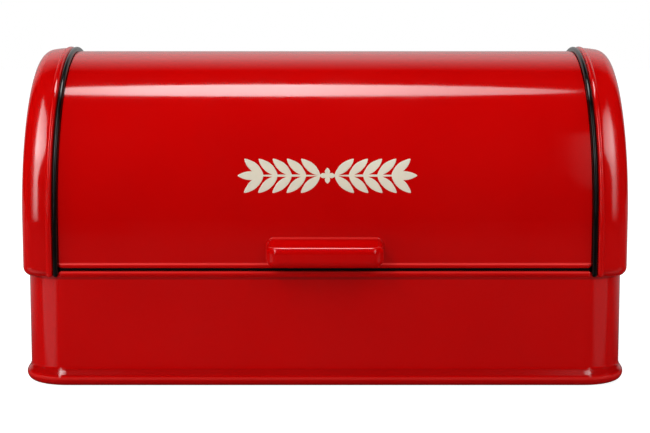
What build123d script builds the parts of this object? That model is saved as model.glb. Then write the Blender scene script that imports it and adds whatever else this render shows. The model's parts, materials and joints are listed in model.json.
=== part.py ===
from build123d import *
import os
from math import acos, asin, cos, degrees, radians, sin

# Steel bread box: a shallow base, two hollow end caps, a fixed rear shell and an arched lid that turns
# about the axis of the arch and slides back inside the rear shell. Millimetres, +Z up, front towards -Y.
# The pieces are drawn with the arch's axis on Y = 0, and moved to the part's origin when they are written.

# Overall
axis_height = 116.0          # of the arch's axis above the ground
foot_gap = 0.5               # the feet hold the base this far off the ground
fit_gap = 0.15               # between fixed sheets that sit one inside the other
seat_gap = 0.3               # between a moving piece and what it comes to rest against
cut_past = 1.0               # cutting shapes run this far past what they cut

# Lid
lid_radius = 114.0
lid_half_length = 184.1
lid_sheet = 0.8
lid_end_angle = 110.0        # arch angle of its rear edge, in degrees from the front
lid_travel = 86.0            # degrees that it turns back
lid_flange = 8.2             # depth of the turned-in sides
lid_lip = 5.0                # depth of the turned-in rear edge
hem_radius = 1.9             # rolled bottom edge
hem_proud = 0.8
lid_seal_height = 1.4
lid_seal_width = 2.4

# Base
wall_step = 1.0              # base wall in front of the lid
wall_inset = 1.0             # base wall inside the end of a cap
wall_sheet = 1.0
wall_top = 80.0
corner_radius = 29.0
foot_flare = 3.0
foot_top = 14.0              # where the wall starts to flare
foot_widest = 6.2
foot_turn_in = 6.0
sill_radius = 1.9            # rolled front edge of the base
sill_proud = 1.2
sill_drop = 0.5
floor_sheet = 0.8
pad_radius = 8.0
pad_inset = 24.0

# End caps, their cheeks and edge seals
cap_rise = 2.5               # cap above the lid, at the rim
cap_crown = 65.0             # radius of the cap's gentle rounding from its rim towards its end
cap_width = 19.4             # from the middle of the rim to the end of the cap
cap_sheet = 0.8
cap_round = 9.0
cap_lap = 2.8                # cap below the top of the base wall
cap_bottom_round = 6.5
rim_radius = 2.4
rim_sink = 1.4
flange_depth = 11.1
cheek_sheet = 1.0
cheek_gap = 0.7
seal_gap = 0.4
seal_width = 3.7
seal_rise = 3.3
seal_depth = 6.8
seal_end_angle = 104.0

# Rear shell
shell_sheet = 0.8
shell_start_angle = 105.0
shell_hem_radius = 0.8
shell_lap = 10.0             # overlap with the base wall
shell_end_gap = 0.2
vent_radius = 2.5
vent_pitch = 20.0
vents_in_row = 8
vent_rise = 16.0             # lowest row above the top of the base wall
vent_row_pitch = 12.0
vent_rows = 2

# Pivots and lid arms
pin_radius = 4.0
pin_head_radius = 7.0
pin_head = 1.5
running_gap = 0.05
bush_wall = 2.0
bush_flange_radius = 9.0
bush_flange = 1.5
bush_lip = 0.8
arm_sheet = 1.4
arm_hub_radius = 14.0
arm_start_angle = 22.0
arm_end_angle = 78.0
arm_edge_gap = 2.5           # between the arm's rim and the lid's skin
arm_rivet_angles = (32.0, 50.0, 68.0)
bumper_radius = 4.0
bumper_inset = 30.7          # from the arm's rim towards the pivot
bumper_stem_radius = 2.0

# Rivets and screws
rivet_radius = 1.4
rivet_head_radius = 2.2
rivet_head = 1.0
rivet_head_round = 0.8
rivet_edge_gap = 0.8         # between a rivet's head and the edge of its sheet
cheek_rivet_angles = (25.0, 68.0, 112.0, 155.0)
shell_rivet_pitch = 120.0
shell_rivets = 3
screw_radius = 2.0
screw_head_radius = 3.6
screw_head = 2.0
screw_depth = 8.0
screw_spacing = 52.0
washer_radius = 5.0
washer_sheet = 0.8

# Handle
handle_half = 40.0
handle_reach = 19.0
handle_rise = 1.2            # above the middle of the lid's rolled edge
handle_height = 18.0
handle_slope = 4.8
handle_round = 5.0
handle_end_round = 8.0       # of its upright corners
handle_lip = 0.9             # rounded edge that lies against the lid
handle_wall = 3.2
handle_roof = 9.3            # solid above the finger hollow, at the lid
hollow_end = 7.0             # solid at each end of the hollow
hollow_round = 2.5
screw_drop = 5.6             # screws below the top of the handle

# Places that follow
seal_inside = lid_half_length + seal_gap
seal_outside = seal_inside + seal_width
seal_top = lid_radius + seal_rise
rim_place = seal_outside + rim_radius
half_length = rim_place + cap_width
cap_bottom = wall_top - cap_lap
wall_half_depth = lid_radius + wall_step
wall_half_length = half_length - wall_inset
sill_height = wall_top - sill_drop
sill_top = sill_height + sill_radius
hem_height = sill_top + seat_gap + lid_seal_height + hem_radius
hem_depth = lid_radius + hem_proud - hem_radius
cap_radius = lid_radius + cap_rise
rim_centre = cap_radius - rim_sink
flange_inside = rim_centre - flange_depth
cheek_place = seal_outside + cap_sheet
cheek_radius = rim_centre - rim_radius - cheek_gap
arm_outside = lid_half_length - lid_sheet
arm_inside = arm_outside - arm_sheet
arm_radius = lid_radius - lid_sheet - arm_edge_gap
bumper_reach = arm_radius - bumper_inset
bumper_turn = degrees(asin((bumper_radius + seat_gap) / bumper_reach))
bumper_angle = arm_end_angle + lid_travel + bumper_turn
bush_outside = arm_outside + bush_flange
bush_inside = arm_inside - bush_lip
flange_rivet_radius = lid_radius - lid_sheet - lid_flange + rivet_head_radius + rivet_edge_gap
cheek_rivet_radius = (flange_inside + seal_top - seal_depth) / 2
floor_bottom = foot_gap + wall_sheet
floor_inset = foot_widest - foot_gap - foot_flare + fit_gap
foot_reach = wall_half_depth + foot_flare
handle_front = lid_radius + handle_reach
handle_bottom = hem_height + handle_rise
handle_top = handle_bottom + handle_height
shell_rivet_places = [
    (place - (shell_rivets - 1) / 2) * shell_rivet_pitch for place in range(shell_rivets)
]
axis_place = (handle_front - foot_reach) / 2


def arch_plane(angle):
    """The plane of an arch angle, with x along the box and y away from the arch's axis."""
    turn = radians(angle)
    return Plane(origin=(0, 0, axis_height), x_dir=(1, 0, 0), z_dir=(0, -sin(turn), -cos(turn)))


def arch_point(radius, angle):
    """Side view (y, z) of a point at an arch angle, 0 at the front and 90 at the top."""
    return (-radius * cos(radians(angle)), axis_height + radius * sin(radians(angle)))


def arch_arc(radius, start, end):
    """Side view arc about the arch's axis."""
    middle = (start + end) / 2
    return ThreePointArc(arch_point(radius, start), arch_point(radius, middle), arch_point(radius, end))


def patch(x_low, x_high, y_low, y_high):
    """A rectangle between two corners."""
    middle = Pos((x_low + x_high) / 2, (y_low + y_high) / 2)
    return middle * Rectangle(x_high - x_low, y_high - y_low)


def turned(section, start, end):
    """Turn a section drawn as (x, radius) about the arch's axis between two arch angles."""
    axis = Axis((0, 0, axis_height), (-1, 0, 0))
    return revolve(arch_plane(start) * section, axis, end - start)


def front_leg(section, low):
    """Carry a section straight down from the front of the arch."""
    return extrude(arch_plane(0) * section, axis_height - low)


def back_leg(section, low):
    """Carry a section straight down from the back of the arch."""
    return extrude(arch_plane(180) * section, low - axis_height)


def rod(start, direction, length, radius):
    """A cylinder that starts at a point and runs in a direction."""
    return extrude(Plane(origin=start, z_dir=direction) * Circle(radius), length)


def rounded_rod(half, y, z, radius):
    """A rod along the box with domed ends, such as a rolled edge."""
    straight = half - radius
    piece = rod((-straight, y, z), (1, 0, 0), 2 * straight, radius)
    for side in (-1, 1):
        piece += Pos(side * straight, y, z) * Sphere(radius)
    return piece


def rivet(start, direction, grip):
    """A rivet through sheets of a total thickness, with a low head at each end."""
    head = extrude(Circle(rivet_head_radius), rivet_head)
    head = fillet(head.edges().group_by(Axis.Z)[-1], rivet_head_round)
    piece = extrude(Circle(rivet_radius), grip)
    piece += Pos(0, 0, grip) * head
    piece += Rot(180, 0, 0) * head
    return Plane(origin=start, z_dir=direction) * piece


def base_block(grow, low, high):
    """A block with the base wall's plan, larger by a set amount all round."""
    plan = RectangleRounded(
        2 * (wall_half_length + grow), 2 * (wall_half_depth + grow), corner_radius + grow
    )
    return Pos(0, 0, low) * extrude(plan, high - low)


def arc_about(centre, radius, start, end):
    """An arc about a centre between two angles in degrees."""
    points = []
    for angle in (start, (start + end) / 2, end):
        points.append((centre[0] + radius * cos(radians(angle)), centre[1] + radius * sin(radians(angle))))
    return ThreePointArc(*points)


def wall_section():
    """Section (outward, height) of the base wall: a straight sheet over a flared foot that turns in."""
    drop = foot_top - foot_widest
    bend = (foot_flare**2 + drop**2) / (4 * foot_flare)
    lean = degrees(asin(drop / 2 / bend))
    toe = foot_widest - foot_gap
    above = (bend, foot_top)
    below = (foot_flare - bend, foot_widest)
    toe_centre = (foot_flare - toe, foot_widest)
    outside = [
        arc_about(above, bend, 180, 180 + lean),
        arc_about(below, bend, lean, 0),
        arc_about(toe_centre, toe, 0, -90),
    ]
    inside = [
        arc_about(above, bend + wall_sheet, 180, 180 + lean),
        arc_about(below, bend - wall_sheet, lean, 0),
        arc_about(toe_centre, toe - wall_sheet, 0, -90),
    ]
    return make_face(
        outside
        + inside
        + [
            Line((0, foot_top), (0, wall_top)),
            Line((0, wall_top), (-wall_sheet, wall_top)),
            Line((-wall_sheet, wall_top), (-wall_sheet, foot_top)),
            Line((toe_centre[0], foot_gap), (-foot_turn_in, foot_gap)),
            Line((-foot_turn_in, foot_gap), (-foot_turn_in, floor_bottom)),
            Line((-foot_turn_in, floor_bottom), (toe_centre[0], floor_bottom)),
        ]
    )


def make_base_wall():
    """The base's wall with its flared foot and its rolled front edge."""
    straight_x = wall_half_length - corner_radius
    straight_y = wall_half_depth - corner_radius
    section = wall_section()
    front = Plane(origin=(straight_x, -wall_half_depth, 0), x_dir=(0, -1, 0), z_dir=(-1, 0, 0)) * section
    side = Plane(origin=(wall_half_length, -straight_y, 0), x_dir=(1, 0, 0), z_dir=(0, -1, 0)) * section
    quarter = extrude(front, straight_x)
    quarter += revolve(front, Axis((straight_x, -straight_y, 0), (0, 0, 1)), 90)
    quarter += extrude(side, -straight_y)
    half = quarter + mirror(quarter, Plane.YZ)
    wall = half + mirror(half, Plane.XZ)
    wall += rounded_rod(lid_half_length, sill_radius - sill_proud - wall_half_depth, sill_height, sill_radius)
    for hole in shell_rivet_holes():
        wall -= hole
    return wall


def make_base_floor():
    """The floor plate, which lies on the foot's turned-in edge."""
    return base_block(-floor_inset, floor_bottom, floor_bottom + floor_sheet)


def make_pad(x, y):
    """A round rubber pad under the floor."""
    pad = rod((x, y, 0), (0, 0, 1), floor_bottom, pad_radius)
    return fillet(pad.edges().group_by(Axis.Z)[0], foot_gap / 2)


def cap_block(shrink):
    """A solid with the outside shape of the right cap, smaller all round by a set amount."""
    low = cap_bottom + shrink
    start = rim_place - shrink
    end = half_length - shrink
    crown = cap_crown - shrink
    first = degrees(acos(-shrink / crown))
    last = degrees(acos((end - rim_place) / crown))
    edge = arc_about((rim_place, cap_radius - cap_crown), crown, first, last)
    section = make_face([edge, Line(edge @ 1, (end, 0)), Line((end, 0), (start, 0)), Line((start, 0), edge @ 0)])
    corner = section.vertices().sort_by_distance(edge @ 1)[0]
    section = fillet(corner, cap_round - shrink)
    block = turned(section, 0, 180) + front_leg(section, low) + back_leg(section, low)
    low_edges = block.edges().group_by(Axis.Z)[0]
    return fillet(low_edges.filter_by(lambda edge: edge.center().X > start + 1), cap_bottom_round - shrink)


def make_cap():
    """The right cap: a hollow pressing with a rolled rim and a flange turned in beside the seal."""
    flange = patch(seal_outside, cheek_place, flange_inside, rim_centre)
    section = Pos(rim_place, rim_centre) * Circle(rim_radius) + flange
    low = cap_bottom + rim_radius
    rim = turned(section, 0, 180) + front_leg(section, low) + back_leg(section, low)
    for y in (-rim_centre, rim_centre):
        rim += Pos(rim_place, y, low) * Sphere(rim_radius)
    cap = cap_block(0) - cap_block(cap_sheet) + rim
    cap -= base_block(fit_gap, 0, wall_top + cheek_sheet + fit_gap)
    for angle in cheek_rivet_angles:
        cap -= side_hole(cheek_rivet_radius, angle, rivet_radius)
    return cap


def side_hole(radius, angle, size):
    """A hole along the box through every sheet beside the lid, at a place on the arch."""
    y, z = arch_point(radius, angle)
    start = arm_inside - cut_past
    length = cheek_place + cheek_sheet + cut_past - start
    return rod((start, y, z), (1, 0, 0), length, size + running_gap)


def make_cheek():
    """The right inner plate, with a ledge that closes the cap's hollow above the base wall."""
    outline = make_face(
        [
            Line((-cheek_radius, wall_top), (-cheek_radius, axis_height)),
            arch_arc(cheek_radius, 0, 180),
            Line((cheek_radius, axis_height), (cheek_radius, wall_top)),
            Line((cheek_radius, wall_top), (-cheek_radius, wall_top)),
        ]
    )
    ledge = base_block(0, wall_top, wall_top + cheek_sheet)
    ledge = split(ledge, Plane.YZ.offset(cheek_place), Keep.TOP)
    cheek = extrude(Plane.YZ.offset(cheek_place) * outline, cheek_sheet) + ledge
    cheek -= side_hole(0, 0, pin_radius)
    cheek -= side_hole(bumper_reach, bumper_angle, bumper_stem_radius)
    for angle in cheek_rivet_angles:
        cheek -= side_hole(cheek_rivet_radius, angle, rivet_radius)
    return cheek


def make_edge_seal():
    """The right black seal, which stands up between the lid's edge and the cap's rim."""
    dome = seal_width / 2
    middle = seal_inside + dome
    low = cap_bottom + dome
    section = patch(seal_inside, seal_outside, seal_top - seal_depth, seal_top - dome)
    section += Pos(middle, seal_top - dome) * Circle(dome)
    seal = turned(section, 0, seal_end_angle) + front_leg(section, low)
    seal += rod((middle, seal_depth - seal_top, low), (0, -1, 0), seal_depth - dome, dome)
    seal += Pos(middle, dome - seal_top, low) * Sphere(dome)
    return seal - base_block(fit_gap, 0, wall_top + fit_gap)


def shell_rivet_holes():
    """Holes through the rear shell and the base wall."""
    start = wall_half_depth - 2 * wall_sheet
    height = wall_top - shell_lap / 2
    size = rivet_radius + running_gap
    return [rod((x, start, height), (0, 1, 0), 4 * wall_sheet, size) for x in shell_rivet_places]


def make_rear_shell():
    """The fixed shell behind the lid, lapped over the base wall, with rows of vents."""
    half = seal_outside - shell_end_gap
    skin = patch(-half, half, wall_half_depth, wall_half_depth + shell_sheet)
    shell = turned(skin, shell_start_angle, 180) + back_leg(skin, wall_top - shell_lap)
    y, z = arch_point(wall_half_depth + shell_sheet, shell_start_angle)
    shell += rod((-half, y, z), (1, 0, 0), 2 * half, shell_hem_radius)
    for row in range(vent_rows):
        height = wall_top + vent_rise + row * vent_row_pitch
        for place in range(vents_in_row):
            x = (place - (vents_in_row - 1) / 2) * vent_pitch
            shell -= rod((x, wall_half_depth - shell_sheet, height), (0, 1, 0), 3 * shell_sheet, vent_radius)
    for hole in shell_rivet_holes():
        shell -= hole
    return shell


def make_pivot_pin():
    """The right pivot pin, fixed in the cheek and headed inside the lid's bush."""
    start = bush_inside - seat_gap
    end = cheek_place + cheek_sheet
    pin = rod((start, 0, axis_height), (1, 0, 0), end - start, pin_radius)
    head = rod((start, 0, axis_height), (-1, 0, 0), pin_head, pin_head_radius)
    pin += fillet(head.edges().group_by(Axis.X)[0], pin_head / 2)
    return pin + rod((end, 0, axis_height), (1, 0, 0), pin_head, pin_radius + pin_head)


def make_pivot_spacer():
    """The right spacer, which holds the lid's arm off the cheek."""
    start = bush_outside + seat_gap
    spacer = rod((start, 0, axis_height), (1, 0, 0), cheek_place - start, bush_flange_radius)
    return spacer - side_hole(0, 0, pin_radius)


def make_bumper():
    """The right rubber stop for the open lid, held by a stem through the cheek."""
    y, z = arch_point(bumper_reach, bumper_angle)
    outside = cheek_place + cheek_sheet
    bumper = rod((arm_inside, y, z), (1, 0, 0), cheek_place - arm_inside, bumper_radius)
    bumper = fillet(bumper.edges().group_by(Axis.X)[0], bumper_radius / 4)
    bumper += rod((cheek_place, y, z), (1, 0, 0), cheek_sheet, bumper_stem_radius)
    return bumper + rod((outside, y, z), (1, 0, 0), bumper_stem_radius, 1.5 * bumper_stem_radius)


def make_lid_panel():
    """The arched lid with turned-in sides, a turned-in rear edge and a rolled bottom edge."""
    half = lid_half_length
    inside = lid_radius - lid_sheet
    skin = patch(-half, half, inside, lid_radius)
    panel = turned(skin, 0, lid_end_angle) + front_leg(skin, hem_height)
    for edge in (-half, half - lid_sheet):
        flange = patch(edge, edge + lid_sheet, inside - lid_flange, inside)
        panel += turned(flange, 0, lid_end_angle) + front_leg(flange, hem_height)
    lip = patch(-half, half, lid_radius - lid_lip, lid_radius)
    panel += extrude(arch_plane(lid_end_angle) * lip, lid_sheet)
    panel += rounded_rod(half, -hem_depth, hem_height, hem_radius)
    for angle in arm_rivet_angles:
        hole = side_hole(flange_rivet_radius, angle, rivet_radius)
        panel -= hole
        panel -= mirror(hole, Plane.YZ)
    for hole in screw_holes():
        panel -= hole
    return panel


def make_lid_arm():
    """The right arm: a fan of sheet from the pivot to the lid's turned-in side."""
    centre = (0, axis_height)
    first = arch_point(arm_radius, arm_start_angle)
    last = arch_point(arm_radius, arm_end_angle)
    edge = arch_arc(arm_radius, arm_start_angle, arm_end_angle)
    fan = make_face([Line(centre, first), edge, Line(last, centre)])
    fan += Pos(*centre) * Circle(arm_hub_radius)
    arm = extrude(Plane.YZ.offset(arm_inside) * fan, arm_sheet)
    arm -= side_hole(0, 0, pin_radius + running_gap + bush_wall)
    for angle in arm_rivet_angles:
        arm -= side_hole(flange_rivet_radius, angle, rivet_radius)
    return arm


def make_bush():
    """The right flanged bush, pressed into the arm and running on the pin."""
    barrel = pin_radius + running_gap + bush_wall
    bush = rod((bush_inside, 0, axis_height), (1, 0, 0), arm_outside - bush_inside, barrel)
    bush += rod((arm_outside, 0, axis_height), (1, 0, 0), bush_flange, bush_flange_radius)
    start = bush_inside - cut_past
    bore = rod((start, 0, axis_height), (1, 0, 0), bush_outside + cut_past - start, pin_radius + running_gap)
    return bush - bore


def make_lid_seal():
    """The black strip under the lid's rolled edge."""
    half = lid_half_length - hem_proud
    low = sill_top + seat_gap
    high = hem_height - hem_radius + lid_seal_height / 3
    plan = Pos(0, lid_seal_width / 2 - lid_radius, low) * Rectangle(2 * half, lid_seal_width)
    length = 2 * (half + cut_past)
    hem = rod((-length / 2, -hem_depth, hem_height), (1, 0, 0), length, hem_radius + running_gap)
    return extrude(plan, high - low) - hem


def make_handle_lip():
    """The thin rounded edge round the top and ends of the handle, where it meets the lid."""
    middle = (handle_top + handle_bottom) / 2
    size = (2 * (handle_half + handle_lip), handle_height + 2 * handle_lip)
    plan = RectangleRounded(*size, handle_round + handle_lip)
    lip = extrude(Plane(origin=(0, -lid_radius, middle), x_dir=(1, 0, 0), z_dir=(0, -1, 0)) * plan, handle_lip)
    lip = fillet(lip.edges().group_by(Axis.Y)[0], 0.8 * handle_lip)
    return split(lip, Plane.XY.offset(handle_bottom), Keep.TOP)


def make_handle():
    """The moulded pull: a rounded bar with a finger hollow open below."""
    outline = Polyline(
        (-lid_radius, handle_top),
        (-handle_front, handle_top - handle_slope),
        (-handle_front, handle_bottom),
        (-lid_radius, handle_bottom),
        close=True,
    )
    bar = extrude(Plane.YZ * make_face(outline), handle_half, both=True)
    bar = fillet(bar.edges().filter_by(Axis.Z).group_by(Axis.Y)[0], handle_end_round)
    front_edges = bar.edges().filter_by(lambda edge: edge.center().Y < -lid_radius - 1)
    bar = fillet([edge for edge in front_edges if abs((edge % 0.5).Z) < 0.9], handle_round)
    bar += make_handle_lip()
    low = handle_bottom - cut_past
    plan = Rectangle(2 * (handle_half - hollow_end), handle_reach - 2 * handle_wall)
    hollow = Pos(0, -(handle_front + lid_radius) / 2, low) * extrude(plan, handle_top - handle_roof - low)
    hollow = fillet(hollow.edges().filter_by(lambda edge: edge.center().Z > handle_bottom), hollow_round)
    bar -= hollow
    relief = hem_radius + fit_gap
    bar -= rod((-lid_half_length, -hem_depth, hem_height), (1, 0, 0), 2 * lid_half_length, relief)
    for hole in screw_holes():
        bar -= hole
    return bar


def screw_places():
    """Where the handle's screws enter the lid, on its outer face."""
    return [(side * screw_spacing / 2, -lid_radius, handle_top - screw_drop) for side in (-1, 1)]


def screw_holes():
    """Holes for the handle's screws, from inside the lid into the handle."""
    start = lid_sheet + washer_sheet + cut_past
    holes = []
    for x, y, z in screw_places():
        holes.append(rod((x, y + start, z), (0, -1, 0), start + screw_depth, screw_radius + running_gap))
    return holes


def make_handle_screw(place):
    """A pan head screw with a cross slot, driven from inside the lid."""
    under_head = lid_sheet + washer_sheet
    head = extrude(Circle(screw_head_radius), screw_head)
    head = fillet(head.edges().group_by(Axis.Z)[-1], screw_head / 2)
    for turn in (0, 90):
        slot = Rot(0, 0, turn) * Rectangle(screw_head_radius, screw_radius / 2)
        head -= Pos(0, 0, screw_head / 2) * extrude(slot, screw_head)
    screw = head + extrude(Circle(screw_radius), seat_gap - under_head - screw_depth)
    x, y, z = place
    return Plane(origin=(x, y + under_head, z), z_dir=(0, 1, 0)) * screw


def make_handle_washer(place):
    """A flat washer under a handle screw's head."""
    x, y, z = place
    washer = rod((x, y + lid_sheet, z), (0, 1, 0), washer_sheet, washer_radius)
    return washer - rod((x, y, z), (0, 1, 0), lid_sheet + washer_sheet + cut_past, screw_radius + running_gap)


def add_pair(name, piece):
    """Name a piece of the right side, and its mirror image on the left."""
    parts[f"right_{name}"] = piece
    parts[f"left_{name}"] = mirror(piece, Plane.YZ)


parts = {
    "base_wall": make_base_wall(),
    "base_floor": make_base_floor(),
    "rear_shell": make_rear_shell(),
    "lid_panel": make_lid_panel(),
    "lid_seal": make_lid_seal(),
    "handle": make_handle(),
}
for end_name, y_side in (("front", -1), ("rear", 1)):
    pad_y = y_side * (wall_half_depth - pad_inset)
    add_pair(f"{end_name}_foot", make_pad(wall_half_length - pad_inset, pad_y))
add_pair("cap", make_cap())
add_pair("cheek", make_cheek())
add_pair("edge_seal", make_edge_seal())
add_pair("pivot_pin", make_pivot_pin())
add_pair("pivot_spacer", make_pivot_spacer())
add_pair("stop_bumper", make_bumper())
add_pair("lid_arm", make_lid_arm())
add_pair("arm_bush", make_bush())
for number, angle in enumerate(cheek_rivet_angles, 1):
    y, z = arch_point(cheek_rivet_radius, angle)
    add_pair(f"cheek_rivet_{number}", rivet((seal_outside, y, z), (1, 0, 0), cap_sheet + cheek_sheet))
for number, angle in enumerate(arm_rivet_angles, 1):
    y, z = arch_point(flange_rivet_radius, angle)
    add_pair(f"arm_rivet_{number}", rivet((arm_inside, y, z), (1, 0, 0), arm_sheet + lid_sheet))
for number, x in enumerate(shell_rivet_places, 1):
    start = (x, wall_half_depth - wall_sheet, wall_top - shell_lap / 2)
    parts[f"shell_rivet_{number}"] = rivet(start, (0, 1, 0), wall_sheet + shell_sheet)
for side, place in zip(("left", "right"), screw_places()):
    parts[f"{side}_handle_screw"] = make_handle_screw(place)
    parts[f"{side}_handle_washer"] = make_handle_washer(place)

os.makedirs("parts", exist_ok=True)
for name, piece in parts.items():
    export_step(Pos(0, axis_place, 0) * piece, f"parts/{name}.step")
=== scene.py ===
# %% [markdown]
# # A red enamelled bread box
#
# The box is already built as a working model: its sheets, seals, pivots and rivets are loaded here with
# their real sizes and places. What is left for Blender is everything that the eye reads as a real object:
# gloss, rubber, plating, the painted ornament, the light and the camera. This file goes through it in the
# order in which someone would do it at a desk.

# %% Load the finished model
import json
from math import cos, pi, radians, sin

import bmesh
import bpy
from mathutils import Matrix, Vector


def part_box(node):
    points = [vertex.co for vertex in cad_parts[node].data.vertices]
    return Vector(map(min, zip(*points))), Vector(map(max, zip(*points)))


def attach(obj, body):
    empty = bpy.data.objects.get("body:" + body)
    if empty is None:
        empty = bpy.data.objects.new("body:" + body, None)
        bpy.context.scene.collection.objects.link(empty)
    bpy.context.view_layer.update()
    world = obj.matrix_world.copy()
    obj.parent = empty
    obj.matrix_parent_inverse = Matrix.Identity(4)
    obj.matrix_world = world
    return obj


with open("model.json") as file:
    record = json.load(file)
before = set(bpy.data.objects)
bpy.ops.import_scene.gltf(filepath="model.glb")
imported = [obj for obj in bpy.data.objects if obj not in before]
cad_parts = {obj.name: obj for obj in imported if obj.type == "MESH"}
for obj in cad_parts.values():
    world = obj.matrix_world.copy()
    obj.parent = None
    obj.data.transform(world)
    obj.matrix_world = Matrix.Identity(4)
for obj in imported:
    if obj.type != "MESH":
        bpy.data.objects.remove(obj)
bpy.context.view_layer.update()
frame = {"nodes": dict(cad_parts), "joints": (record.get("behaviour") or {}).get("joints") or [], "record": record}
nodes = frame["nodes"]

# %% [markdown]
# Nearly every curve of the box is drawn about one line: the axis on which the lid turns. The record gives
# that axis, and the lid's top gives the radius, so later steps can speak of "so many degrees up the lid"
# instead of loose coordinates.

# %% The axis of the arch
axis_y, axis_z = frame["joints"][0]["pos_m"][1:]
lid_low, lid_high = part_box("lid_panel")
lid_radius = lid_high.z - axis_z
print(f"the axis is {axis_z * 1000:.0f} mm up, and the lid's radius is {lid_radius * 1000:.0f} mm")


def on_lid(x, along, out):
    """A point on the lid: x across the box, along up the arch from its front, out from the sheet."""
    turn = along / lid_radius
    reach = lid_radius + out
    return Vector((x, axis_y - reach * cos(turn), axis_z + reach * sin(turn)))


# %% [markdown]
# ## Finishes
#
# A finish is a small network of nodes. Three helpers keep each network short to read: one starts a material
# with its main shader, one adds a node with its settings and links, and one feeds an input of the shader.

# %% Helpers for nodes
def start_finish(name, **settings):
    """A new material with its main shader, whose plain settings are given by name."""
    finish = bpy.data.materials.new(name)
    finish.use_nodes = True
    shader = finish.node_tree.nodes["Principled BSDF"]
    for socket, value in settings.items():
        shader.inputs[socket.replace("_", " ").title().replace("Ior", "IOR")].default_value = value
    return finish, shader


def add_node(finish, kind, **inputs):
    """A node with its inputs set or linked, each given by its name or, as i0, i1 and so on, by number."""
    new = finish.node_tree.nodes.new("ShaderNode" + kind)
    for socket, value in inputs.items():
        slot = new.inputs[int(socket[1:]) if socket[1:].isdigit() else socket.replace("_", " ")]
        if isinstance(value, bpy.types.NodeSocket):
            finish.node_tree.links.new(value, slot)
        else:
            slot.default_value = value
    return new


def link(finish, output, shader, socket):
    """Feed one of the shader's inputs from a node."""
    finish.node_tree.links.new(output, shader.inputs[socket])


# %% [markdown]
# What makes a surface look real is that nothing on it is quite even. Every finish here takes its tones, its
# roughness and its fine relief from soft noise of a few sizes. The noise reads Object coordinates, which are
# metres on the piece itself, so the pattern has a real size and stays put when the piece turns.

# %% Helpers for patterns
noise_low = 0.3
noise_high = 0.7


def soft_noise(finish, size, detail=2.0):
    """A random pattern from 0 to 1 whose patches are about this many metres across."""
    place = add_node(finish, "TexCoord")
    noise = add_node(finish, "TexNoise", Vector=place.outputs["Object"], Scale=1 / size, Detail=detail)
    return noise.outputs["Fac"]


def between(finish, amount, low, high):
    """Spread the usual values of a noise over a range of plain numbers."""
    spread = add_node(finish, "MapRange", Value=amount, From_Min=noise_low, From_Max=noise_high,
                      To_Min=low, To_Max=high)
    return spread.outputs["Result"]


def mix_colours(finish, amount, first, second):
    """Blend two colours by a pattern."""
    blend = finish.node_tree.nodes.new("ShaderNodeMix")
    blend.data_type = "RGBA"
    finish.node_tree.links.new(amount, blend.inputs["Factor"])
    for name, colour in (("A", first), ("B", second)):
        socket = next(s for s in blend.inputs if s.name == name and s.type == "RGBA")
        if isinstance(colour, bpy.types.NodeSocket):
            finish.node_tree.links.new(colour, socket)
        else:
            socket.default_value = (*colour, 1)
    return next(s for s in blend.outputs if s.type == "RGBA")


def bump(finish, height, depth, under=None):
    """Turn a pattern into small bumps of a real depth in metres, over another relief where one is given."""
    rise = add_node(finish, "Bump", Height=height, Strength=1.0, Distance=depth)
    if under is not None:
        finish.node_tree.links.new(under, rise.inputs["Normal"])
    return rise.outputs["Normal"]


# %% [markdown]
# Pale lines along the rolled edges are painted highlights, and these lines are made rougher too. Dark lines in the
# hollows are painted shade. Those lines run level round the box, so a ramp on the height finds them. Each has a
# low and a high end, measured from an edge that is known, and the strength of its tone.

# %% Lines at a height
ramp_top = 0.12
line_fade = 0.0005


def line_from(height, low, high, strength):
    """A line's low and high end, both measured from a height in metres, and its strength."""
    return height + low, height + high, strength


def level_ramp(finish, amount, levels):
    """Turn an amount into a level, by rising pairs of both from 0 to 1, with straight lines between."""
    ramp = add_node(finish, "ValToRGB", Fac=amount)
    stops = ramp.color_ramp.elements
    for number, (position, level) in enumerate(levels.items()):
        stop = stops[number] if number < len(stops) else stops.new(1)
        stop.position = position
        stop.color = (level, level, level, 1)
    return ramp.outputs["Color"]


def height_lines(finish, lines):
    """A pattern that has each line's strength between its two heights, and is 0 elsewhere."""
    place = add_node(finish, "TexCoord")
    split = add_node(finish, "SeparateXYZ", Vector=place.outputs["Object"])
    scaled = add_node(finish, "MapRange", Value=split.outputs["Z"], From_Max=ramp_top)
    levels = {0: 0}
    for low, high, strength in lines:
        for height, level in ((low - line_fade, 0), (low, strength), (high, strength), (high + line_fade, 0)):
            levels[height / ramp_top] = level
    return level_ramp(finish, scaled.outputs["Result"], levels)


# %% [markdown]
# The body is stoved enamel on sheet steel. Sprayed enamel is never perfectly flat: it has a fine pebbling,
# called orange peel, over a slow waviness from the rolled sheet, and its colour deepens a little where the
# coat is thicker. All three are soft noise at different sizes. The gloss varies too, because hands and
# cloths leave their traces, so the roughness is a pattern as well and not one number.

# %% Stoved enamel
coat_patch = 0.09
trace_patch = 0.03
trace_detail = 6
wave_patch = 0.05
peel_patch = 0.0016
waves_to_peel = 12
# The pale red paints highlights along rolled edges, and the deep red paints shade in hollows.
painted_highlight_red = (0.93, 0.036, 0.03)
edge_roughness = 0.35
painted_shade_red = (0.25, 0.0005, 0.0005)
shade_line_roughness = 0.2


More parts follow.
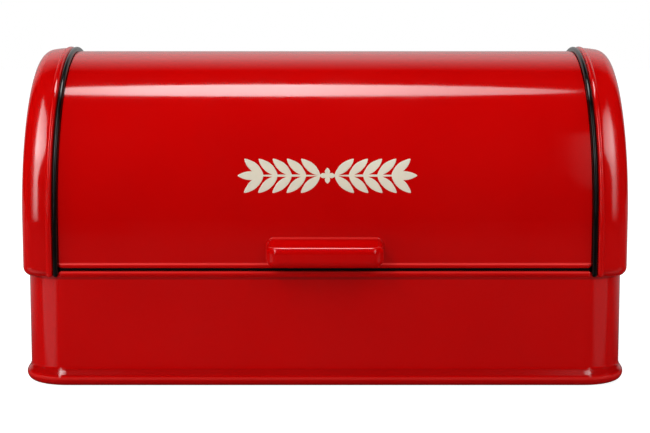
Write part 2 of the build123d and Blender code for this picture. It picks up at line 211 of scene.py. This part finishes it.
def enamel(name, thin, thick, gloss, peel, edges=(), shade_lines=()):
    """Stoved enamel: two tones, a range of roughness, a depth of orange peel, painted highlights on edges and
    painted shade in hollows.
    """
    finish, shader = start_finish(name, ior=1.5)
    colour = mix_colours(finish, between(finish, soft_noise(finish, coat_patch), 0, 1), thin, thick)
    roughness = between(finish, soft_noise(finish, trace_patch, trace_detail), *gloss)
    # Painted highlight lines get the pale red, painted shade lines the deep red, and both get rougher.
    for lines, tone, dulled in ((edges, painted_highlight_red, edge_roughness), (shade_lines, painted_shade_red, shade_line_roughness)):
        if lines:
            share = height_lines(finish, lines)
            colour = mix_colours(finish, share, colour, tone)
            rougher = add_node(finish, "MapRange", Value=share, To_Min=roughness, To_Max=dulled)
            roughness = rougher.outputs["Result"]
    link(finish, colour, shader, "Base Color")
    link(finish, roughness, shader, "Roughness")
    waves = bump(finish, soft_noise(finish, wave_patch, detail=0), waves_to_peel * peel)
    link(finish, bump(finish, soft_noise(finish, peel_patch), peel, waves), shader, "Normal")
    return finish


# %% [markdown]
# The outside has one coat of red everywhere. The lid has a painted highlight along its rolled hem. The base has
# painted highlights along its sill and at the widest place of its foot, and painted shade just under the sill and
# above the foot. The handle is a smoother moulding, with a painted highlight along its upper lip. The sheets
# inside and the rivets have a plainer, duller coat, because nobody polishes them.

# %% Red enamel
red_coat = {"thin": (0.56, 0.001, 0.0008), "thick": (0.52, 0.0006, 0.0006)}
red_face = {"gloss": (0.06, 0.1), "peel": 0.000002}
sill_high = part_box("base_wall")[1].z
lip_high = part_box("handle")[1].z
# The hem, foot, sill and lip lines are painted highlights; the two lines in hollows are painted shade.
hem_highlight_line = line_from(lid_low.z, low=0.0029, high=0.0036, strength=0.9)
foot_highlight_line = line_from(0, low=0.0055, high=0.007, strength=0.3)
foot_shade_line = line_from(0, low=0.0085, high=0.0125, strength=0.45)
sill_highlight_line = line_from(sill_high, low=-0.001, high=-0.0004, strength=0.5)
sill_shade_line = line_from(sill_high, low=-0.0056, high=-0.0044, strength=0.75)
lip_highlight_line = line_from(lip_high, low=-0.0009, high=-0.0002, strength=0.6)

red = enamel("red_enamel", **red_coat, **red_face)
lid_red = enamel("lid_enamel", **red_coat, **red_face, edges=[hem_highlight_line])
base_red = enamel("base_enamel", **red_coat, **red_face,
                  edges=[foot_highlight_line, sill_highlight_line], shade_lines=[foot_shade_line, sill_shade_line])
handle_red = enamel("handle_enamel", **red_coat, gloss=(0.05, 0.09), peel=0.0000003, edges=[lip_highlight_line])
inner_red = enamel("inner_enamel", thin=(0.52, 0.002, 0.002), thick=(0.47, 0.001, 0.001),
                   gloss=(0.16, 0.26), peel=0.000006)
rivet_red = enamel("painted_rivet", thin=(0.53, 0.001, 0.001), thick=(0.47, 0.0008, 0.0008),
                   gloss=(0.12, 0.2), peel=0.000004)
print(f"the hem's pale line is {hem_highlight_line[0] * 1000:.1f} mm up, the sill's {sill_highlight_line[0] * 1000:.1f} mm")

# %% [markdown]
# The seals, feet and pivots have no coat of paint, and each is a plain material in two tones. The seals are
# extruded black rubber: new rubber is satin, dark enough to swallow most light, and a trace of dust lifts the
# black in patches. The pins, screws and washers are bright zinc, a metal with a fine cloudy crystal pattern,
# slightly blue where it is clean and greyer where it has dulled. The bushes and spacers on the pivots are
# natural nylon, an off-white plastic that light enters a little way: a small amount of subsurface scattering
# gives it that waxy look. One helper makes all three, because only their tones, sizes and settings differ.

# %% Rubber, zinc and nylon
def plain_material(name, clean, dull, dull_patch, dull_detail, gloss, gloss_patch, grain, grain_patch,
                   **settings):
    """Two tones in patches, a range of roughness and a fine grain, each with the size of its patches."""
    finish, shader = start_finish(name, **settings)
    share = between(finish, soft_noise(finish, dull_patch, dull_detail), 0, 1)
    link(finish, mix_colours(finish, share, clean, dull), shader, "Base Color")
    link(finish, between(finish, soft_noise(finish, gloss_patch), *gloss), shader, "Roughness")
    link(finish, bump(finish, soft_noise(finish, grain_patch), grain), shader, "Normal")
    return finish


rubber = {"dull_patch": 0.02, "dull_detail": 6, "gloss_patch": 0.006, "grain_patch": 0.0005, "ior": 1.4}
seal_black = plain_material("black_seal", clean=(0.0015, 0.001, 0.001), dull=(0.004, 0.003, 0.0025),
                            gloss=(0.12, 0.2), grain=0.000002, **rubber)
foot_black = plain_material("foot_rubber", clean=(0.02, 0.02, 0.02), dull=(0.04, 0.038, 0.035),
                            gloss=(0.6, 0.75), grain=0.00003, **rubber)
zinc = plain_material("zinc_steel", clean=(0.66, 0.68, 0.71), dull=(0.5, 0.5, 0.5),
                      dull_patch=0.003, dull_detail=6, gloss=(0.2, 0.38), gloss_patch=0.002,
                      grain=0.000004, grain_patch=0.0004, metallic=1.0)
nylon = plain_material("nylon", clean=(0.76, 0.74, 0.67), dull=(0.68, 0.65, 0.57),
                       dull_patch=0.008, dull_detail=4, gloss=(0.38, 0.5), gloss_patch=0.004,
                       grain=0.00001, grain_patch=0.0008,
                       ior=1.53, subsurface_weight=0.3, subsurface_scale=0.002)
print(f"made {len(bpy.data.materials)} materials so far")

# %% [markdown]
# Each piece of the loaded model says in the record which finish it takes, so dressing the whole box is one loop.
# The lid and the base take the same enamel with their own painted highlights along edges, and the base also has
# painted shade. The shapes are not touched.

# %% Dress the model
finishes = {
    "red_enamel": red,
    "inner_enamel": inner_red,
    "handle_enamel": handle_red,
    "painted_rivet": rivet_red,
    "black_seal": seal_black,
    "foot_rubber": foot_black,
    "zinc_steel": zinc,
    "nylon": nylon,
}
# These two finishes carry painted highlights, and the base's also carries painted shade.
painted_light_finishes = {"lid_panel": lid_red, "base_wall": base_red}
for entry in frame["record"]["subparts"]:
    name = entry["node"]
    mesh = nodes[name].data
    mesh.materials.clear()
    mesh.materials.append(painted_light_finishes.get(name, finishes[entry["material_slot"]]))
print(f"dressed {len(nodes)} pieces in {len(finishes) + len(painted_light_finishes)} finishes")

# %% [markdown]
# ## The ornament on the lid
#
# The lid carries a cream ornament across its middle, painted on with a stencil. It is a plain sprig of
# wheat: two ears that lie along the box and meet at a small four-leaved flower. Every grain is the same
# shape, a flattened sphere with pinched ends, placed by a matrix. Its lower half is sunk in the sheet, so
# that only a tenth of a millimetre of paint stands proud.

# %% A leaf of paint
cream = enamel("cream_enamel", thin=(0.8, 0.73, 0.6), thick=(0.74, 0.67, 0.53),
               gloss=(0.18, 0.28), peel=0.000004)
paint_depth = 0.00012
leaf_pinch = 0.45


def add_leaf(shape, x, along, turn, length, width, pinch=leaf_pinch):
    """A pointed leaf that starts at a place and runs in a direction, 0 towards +X."""
    size = Matrix.Diagonal((length / 2, width / 2, paint_depth, 1))
    made = bmesh.ops.create_uvsphere(shape, u_segments=28, v_segments=10, radius=1)["verts"]
    for vert in made:
        vert.co.y *= 1 - pinch * vert.co.x**2
    place = Matrix.Translation((x, along, 0)) @ Matrix.Rotation(turn, 4, "Z")
    start = Matrix.Translation((length / 2, 0, 0))
    bmesh.ops.transform(shape, matrix=place @ start @ size, verts=made)


# %% [markdown]
# The whole sprig is first laid out flat, because straight lines and angles are easy there: a stalk and a last
# grain on each side, then pairs of grains that lean away from the stalk, and the flower in the middle.

# %% Lay out the sprig
sprig_half = 0.062
stalk_start = 0.006
stalk_width = 0.0016
grain_length = 0.0178
grain_width = 0.0062
grain_lean = radians(42)
grain_pitch = 0.0098
grains_a_side = 5
flower_width = 0.011

sprig = bmesh.new()
for side, heading in ((1, 0), (-1, pi)):
    add_leaf(sprig, side * stalk_start, 0, heading, sprig_half - grain_length, stalk_width, pinch=0)
    add_leaf(sprig, side * (sprig_half - grain_length), 0, heading, grain_length, grain_width)
    for number in range(grains_a_side):
        root = side * (sprig_half - grain_length - number * grain_pitch)
        for lean in (-grain_lean, grain_lean):
            add_leaf(sprig, root, 0, heading + lean, grain_length, grain_width)
for quarter in range(4):
    add_leaf(sprig, 0, 0, quarter * pi / 2, flower_width / 2, flower_width / 3)
print(f"the flat sprig has {len(sprig.verts)} points")

# %% [markdown]
# Then each point is carried onto the arch with on_lid, as a stencil is bent round the sheet. The sprig rides
# on the lid, so it turns back with it.

# %% Paint the sprig on the lid
sprig_aside = 0.0017
sprig_up = radians(15.9)
sprig_middle = Vector((sprig_aside, sprig_up * lid_radius))
for vert in sprig.verts:
    x, along, out = vert.co
    vert.co = on_lid(sprig_middle.x + x, sprig_middle.y + along, out)
bmesh.ops.recalc_face_normals(sprig, faces=sprig.faces)
sprig_mesh = bpy.data.meshes.new("lid_sprig")
sprig.to_mesh(sprig_mesh)
sprig.free()
sprig_mesh.polygons.foreach_set("use_smooth", [True] * len(sprig_mesh.polygons))
sprig_mesh.materials.append(cream)
lid_sprig = bpy.data.objects.new("lid_sprig", sprig_mesh)
bpy.context.scene.collection.objects.link(lid_sprig)
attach(lid_sprig, "lid")
print(f"the sprig has {len(sprig_mesh.polygons)} faces")

# %% [markdown]
# ## The studio
#
# The box stands on a plain pale table. The camera sees the table as white: its paint is a light grey, and
# for the camera alone it also gives off some light of its own, so the box's shadow stays on it.

# %% Table
table_half = 6.0
table_grey = (0.53, 0.53, 0.53, 1)
table_roughness = 0.9
lift_level = 0.9
white_light = (1, 1, 1, 1)

table = bpy.data.meshes.new("table")
outline = bmesh.new()
bmesh.ops.create_grid(outline, x_segments=1, y_segments=1, size=table_half)
outline.to_mesh(table)
outline.free()
table_object = bpy.data.objects.new("table", table)
bpy.context.scene.collection.objects.link(table_object)

table_finish, table_shader = start_finish("table_white", base_color=table_grey, roughness=table_roughness)
rays = add_node(table_finish, "LightPath")
lift = add_node(table_finish, "Emission", Color=white_light, Strength=lift_level)
seen = add_node(table_finish, "AddShader", i0=table_shader.outputs[0], i1=lift.outputs[0])
table.materials.append(table_finish)
print(f"the table is {2 * table_half:.0f} m across")

# %% [markdown]
# A mirror-like enamel shows far more of a studio than a matt one, so what it mirrors is set apart from what
# the camera sees, through the Light Path node. The base and the lower lid mirror the table. In front of the
# box it is dark there, and past its edge the room is nearly black. Behind the box it is pale. At each front
# corner of the box lies a lit patch, a fan between two slanting lines from the corner, which fades at its
# rim. It gives the base its bright corners, and the left patch is the brighter.

# %% What the enamel mirrors of the table
dark_table_grey = (0.05, 0.05, 0.05, 1)
room_grey = (0.004, 0.004, 0.004, 1)
table_edge = axis_y - 0.9
edge_blur = 0.05
back_level = 0.4
back_start = axis_y - 0.05
back_full = axis_y + 0.3
glow_corner = (0.2, axis_y - 0.115)
glow_levels = (0.55, 0.3)
glow_reach = 0.45
glow_rim = 0.05
front_slant = 0.7
front_blur = (-0.02, 0.01)
side_slant = 0.14
side_blur = (0, 0.03)


def math_step(finish, operation, first, second=0.0):
    """A sum, product or other plain step between two numbers or patterns."""
    step = add_node(finish, "Math", i0=first, i1=second)
    step.operation = operation
    return step.outputs[0]


def fade_in(value, start, full):
    """0 at the start and 1 from a full value on."""
    return add_node(table_finish, "MapRange", Value=value, From_Min=start, From_Max=full).outputs["Result"]


def blend(share, first, second):
    """One surface where the share is 0, and another where it is 1."""
    return add_node(table_finish, "MixShader", Fac=share, i1=first.outputs[0], i2=second.outputs[0])


def show(finish, surface):
    """Make a material look like this surface."""
    output = finish.node_tree.nodes["Material Output"]
    finish.node_tree.links.new(surface.outputs[0], output.inputs["Surface"])


# %% The lit patches at the front corners
place = add_node(table_finish, "TexCoord")
split = add_node(table_finish, "SeparateXYZ", Vector=place.outputs["Object"])
across = split.outputs["X"]
depth = split.outputs["Y"]
off_middle = math_step(table_finish, "ABSOLUTE", across)
aside = math_step(table_finish, "SUBTRACT", off_middle, glow_corner[0])
ahead = math_step(table_finish, "SUBTRACT", glow_corner[1], depth)
aside_square = math_step(table_finish, "MULTIPLY", aside, aside)
ahead_square = math_step(table_finish, "MULTIPLY", ahead, ahead)
distance = math_step(table_finish, "SQRT", math_step(table_finish, "ADD", aside_square, ahead_square))
front_line = math_step(table_finish, "MULTIPLY", ahead, front_slant)
side_line = math_step(table_finish, "MULTIPLY", aside, side_slant)
past_front = math_step(table_finish, "SUBTRACT", aside, front_line)
past_side = math_step(table_finish, "SUBTRACT", ahead, side_line)
fan = math_step(table_finish, "MULTIPLY", fade_in(past_front, *front_blur), fade_in(past_side, *side_blur))
lit = math_step(table_finish, "MULTIPLY", fade_in(distance, glow_reach + glow_rim, glow_reach), fan)
side_level = add_node(table_finish, "MapRange", Value=across,
                      From_Min=-glow_corner[0], From_Max=glow_corner[0],
                      To_Min=glow_levels[0], To_Max=glow_levels[1])
glow = add_node(table_finish, "Emission", Color=white_light, Strength=side_level.outputs["Result"])
print(f"the patches reach {glow_reach * 1000:.0f} mm from the box's front corners")

# %% Put the table together
pale_back = add_node(table_finish, "Emission", Color=white_light, Strength=back_level)
dark_table = add_node(table_finish, "BsdfDiffuse", Color=dark_table_grey)
room = add_node(table_finish, "BsdfDiffuse", Color=room_grey)
front = blend(fade_in(depth, table_edge - edge_blur, table_edge + edge_blur), room, dark_table)
unlit = blend(fade_in(depth, back_start, back_full), front, pale_back)
mirrored = blend(lit, unlit, glow)
for_others = blend(rays.outputs["Is Camera Ray"], table_shader, seen)
show(table_finish, blend(rays.outputs["Is Glossy Ray"], for_others, mirrored))
print(f"the table's material has {len(table_finish.node_tree.nodes)} nodes")

# %% [markdown]
# The world round the table is white to the camera and a plain soft grey light on the box. The enamel mirrors
# something else again: a pale backdrop behind the box, which fills a wedge that opens backwards. Its levels
# are given by the degrees above the table. It is brightest at 35 degrees and gone at 56, and there is nothing
# but dark at the sides, so the caps keep their dark shoulders.

# %% Surroundings
fill_level = 0.39
white_level = 1.0
backdrop_levels = {0: 0.45, 9: 0.5, 20: 0.63, 35: 0.7, 47: 0.3, 56: 0}
backdrop_spread = 1.2
backdrop_edge = (0.1, -0.3)

world = bpy.data.worlds.new("studio")
world.use_nodes = True
bpy.context.scene.world = world
world.node_tree.nodes.clear()
direction = add_node(world, "TexCoord").outputs["Generated"]
parts = add_node(world, "SeparateXYZ", Vector=direction)
by_height = {sin(radians(angle)): level for angle, level in backdrop_levels.items()}
height_level = level_ramp(world, parts.outputs["Z"], by_height)
sideways = math_step(world, "ABSOLUTE", parts.outputs["X"])
wedge = math_step(world, "MULTIPLY", parts.outputs["Y"], backdrop_spread)
past_edge = math_step(world, "SUBTRACT", sideways, wedge)
inside = add_node(world, "MapRange", Value=past_edge, From_Min=backdrop_edge[0], From_Max=backdrop_edge[1])
backdrop = math_step(world, "MULTIPLY", height_level, inside.outputs["Result"])
sky_rays = add_node(world, "LightPath")
plain_sky = add_node(world, "Background", Color=white_light, Strength=fill_level)
white_sky = add_node(world, "Background", Color=white_light, Strength=white_level)
mirrored_sky = add_node(world, "Background", Color=white_light, Strength=backdrop)
for_gloss = add_node(world, "MixShader", Fac=sky_rays.outputs["Is Glossy Ray"],
                     i1=plain_sky.outputs[0], i2=mirrored_sky.outputs[0])
for_camera = add_node(world, "MixShader", Fac=sky_rays.outputs["Is Camera Ray"],
                      i1=for_gloss.outputs[0], i2=white_sky.outputs[0])
add_node(world, "OutputWorld", Surface=for_camera.outputs[0])
print(f"the plain light has a strength of {fill_level}")

# %% [markdown]
# Glowing cards take the place of softboxes here, because a card's light can fade along it as a real one's
# does. They are there for the light and the reflections, so the camera itself doesn't see them. The first is
# long and slightly bowed, with nearly square ends, and hangs over the box, a little behind it. It gives the
# bright band along the lid, which is weaker at both ends, so the card's light is given along its length.

# %% Overhead card
top_middle = (-0.05, 0.089, 1.2)
top_half = (0.385, 0.12)
top_bow = 0.25
top_fullness = 0.1
top_level = 10
top_levels = {0: 0.4, 0.25: 1, 0.5: 1, 0.75: 0.68, 1: 0.35}


def hang_card(name, shape, finish, strength):
    """Make a shape into a card that glows with this strength."""
    show(finish, add_node(finish, "Emission", Color=white_light, Strength=strength))
    mesh = bpy.data.meshes.new(name)
    shape.to_mesh(mesh)
    shape.free()
    mesh.materials.append(finish)
    card = bpy.data.objects.new(name, mesh)
    card.visible_camera = False
    bpy.context.scene.collection.objects.link(card)
    print(f"{name}: {len(mesh.polygons)} faces")


top_card = bmesh.new()
bmesh.ops.create_circle(top_card, cap_ends=True, segments=96, radius=1)
for vert in top_card.verts:
    vert.co.y *= max(0, 1 - vert.co.x**2) ** top_fullness
    vert.co.y -= top_bow * vert.co.x**2
top_place = Matrix.Translation(top_middle) @ Matrix.Diagonal((*top_half, 1, 1))
bmesh.ops.transform(top_card, matrix=top_place, verts=top_card.verts)
bmesh.ops.reverse_faces(top_card, faces=top_card.faces)

top_glow = start_finish("top_card")[0]
top_split = add_node(top_glow, "SeparateXYZ", Vector=add_node(top_glow, "TexCoord").outputs["Object"])
along_card = add_node(top_glow, "MapRange", Value=top_split.outputs["X"],
                      From_Min=top_middle[0] - top_half[0], From_Max=top_middle[0] + top_half[0])
top_fading = level_ramp(top_glow, along_card.outputs["Result"], top_levels)
hang_card("top_card", top_card, top_glow, math_step(top_glow, "MULTIPLY", top_fading, top_level))

# %% [markdown]
# A tall card stands at each side in front, and leans in over the end of the box until it is nearly overhead.
# It gives the long curved highlight on the end cap. It is placed by two angles seen from the cap: one up the
# arch, from straight in front to overhead, and one out to the side. A grid is the start, because each of its
# points can be turned to its own two angles. Its UV map tells the material how far up the card a point is.

# %% A card bent about the end cap
cap_middle = (0.2, -0.1, 0.15)
card_reach = 1.3


def add_bent_card(name, side, edges, levels, level, fade):
    """A glowing card, bent about the cap. Its levels are given up the arch, and its fade out to the side."""
    foot, tip = min(levels), max(levels)
    shape = bmesh.new()
    shape.loops.layers.uv.new("along")
    bmesh.ops.create_grid(shape, x_segments=4, y_segments=60, size=1, calc_uvs=True)
    for vert in shape.verts:
        up = foot + (tip - foot) * (vert.co.y + 1) / 2
        inner, outer = edges(up)
        out = radians(inner + (outer - inner) * (vert.co.x + 1) / 2)
        turned = Vector((sin(out), -cos(out) * cos(radians(up)), cos(out) * sin(radians(up))))
        vert.co = Vector(cap_middle) + card_reach * turned
        vert.co.x *= side
    finish = start_finish(name)[0]
    where = add_node(finish, "TexCoord")
    along = add_node(finish, "SeparateXYZ", Vector=where.outputs["UV"]).outputs["Y"]
    upwards = level_ramp(finish, along, {(up - foot) / (tip - foot): share for up, share in levels.items()})
    sideways = add_node(finish, "SeparateXYZ", Vector=where.outputs["Object"]).outputs["X"]
    start, full = (cap_middle[0] + card_reach * sin(radians(fade[end])) for end in ("start", "full"))
    outwards = add_node(finish, "MapRange", Value=math_step(finish, "ABSOLUTE", sideways),
                        From_Min=start, From_Max=full, To_Min=fade["least"] * level, To_Max=level)
    hang_card(name, shape, finish, math_step(finish, "MULTIPLY", upwards, outwards.outputs["Result"]))


# %% [markdown]
# The edges of the tall cards follow the outline of the highlight on the cap. Up the arch, the inner edge
# swings inwards and near the tip out again, and the outer edge curves inwards ever faster. Each card's light
# is weakest at its two ends and on its inner side, and the left card is the brighter.

# %% Tall cards
card_tip = 94.7
inner_foot = 22.3
inner_swing = (20, 50, -7)
inner_return = (70, card_tip, 3)
outer_foot = 26.6
outer_curve = 8.3
outer_power = 2.5
highlight_level = 13.5
highlight_fade = {"start": 15.5, "full": 22.5, "least": 0.45}
left_levels = {
    -6.5: 0.12, -4: 0.27, 0: 0.35, 7: 0.42, 23: 0.51, 35: 0.62, 47: 1,
    56: 1, 64: 0.86, 72: 0.76, 81: 0.65, 90: 0.4, card_tip: 0.2,
}
right_levels = {
    -6.5: 0.01, -4: 0.06, 0: 0.12, 7: 0.17, 23: 0.24, 35: 0.35, 47: 0.57,
    56: 0.59, 64: 0.54, 72: 0.42, 80: 0.2, 85: 0.04, card_tip: 0,
}


def swing(up, start, full, turn):
    """Degrees to the side that an edge has swung by, smoothly from the start up to the full turn."""
    share = min(1, max(0, (up - start) / (full - start)))
    return turn * (share * share * (3 - 2 * share))


def highlight_edges(up):
    """The inner and outer edge of a tall card, in degrees to the side, by the degrees up the arch."""
    inner = inner_foot + swing(up, *inner_swing) + swing(up, *inner_return)
    outer = outer_foot - outer_curve * (max(0, up) / card_tip) ** outer_power
    return inner, outer


add_bent_card("left_card", -1, highlight_edges, left_levels, highlight_level, highlight_fade)
add_bent_card("right_card", 1, highlight_edges, right_levels, highlight_level, highlight_fade)

# %% [markdown]
# A third card, at the right, is narrow and dim: it only veils the last finger's width of the lid. Its edges
# and its light are given in the same way.

# %% Narrow card at the right
veil_inner = 7.2
veil_outer = 12
veil_lean = 1.2
veil_lean_ends = (13, 30)
veil_level = 0.5
veil_fade = {"start": 7.2, "full": 9.2, "least": 0.3}
veil_levels = {13: 0, 19: 0.5, 35: 0.8, 46: 1, 57: 0.9, 62: 0}


def veil_edges(up):
    """The edges of the narrow card, whose inner one leans outwards near its foot."""
    return veil_inner + veil_lean - swing(up, *veil_lean_ends, veil_lean), veil_outer


add_bent_card("veil_card", 1, veil_edges, veil_levels, veil_level, veil_fade)

# %% [markdown]
# Two soft lamps stand low at the sides, and only lift the shade: the enamel doesn't mirror them. The ends of
# the box are brighter than its middle because of them, the left end more than the right.

# %% Soft lamps at the sides
fill_place = (1.1, -0.35, 0.2)
fill_aim = (0.15, -0.1, 0.08)
fill_size = 0.4
left_radiance = 6.5
right_radiance = 4.2


def add_side_lamp(name, side, radiance):
    """A square soft lamp that points at the box's end, set by how bright its face is."""
    place, aim = (Vector((side * x, y, z)) for x, y, z in (fill_place, fill_aim))
    lamp = bpy.data.lights.new(name, "AREA")
    lamp.size = fill_size
    lamp.energy = radiance * pi * fill_size * fill_size
    holder = bpy.data.objects.new(name, lamp)
    holder.location = place
    holder.rotation_euler = (aim - place).to_track_quat("-Z", "Y").to_euler()
    holder.visible_glossy = False
    bpy.context.scene.collection.objects.link(holder)
    print(f"{name}: {lamp.energy:.1f} W over {fill_size * fill_size:.2f} square metres")


add_side_lamp("left_fill", -1, left_radiance)
add_side_lamp("right_fill", 1, right_radiance)

# %% [markdown]
# ## Camera
#
# The picture was taken from straight in front, about 1.2 m away and a little above the box, with a lens that
# is long enough to keep its sides nearly parallel. The camera looks down by about seven degrees.

# %% Camera
camera_distance = 1.2254
camera_rise = 0.1436
camera_tilt = radians(7.19)
camera_data = bpy.data.cameras.new("camera")
camera_data.sensor_width = 36
camera_data.lens = 90.05
camera = bpy.data.objects.new("camera", camera_data)
camera.location = (0, axis_y - camera_distance, axis_z + camera_rise)
camera.rotation_euler = (pi / 2 - camera_tilt, 0, 0)
bpy.context.scene.collection.objects.link(camera)
bpy.context.scene.camera = camera
bpy.context.scene.view_settings.view_transform = "Standard"
print(f"the camera stands {camera.location.z * 1000:.0f} mm above the table")
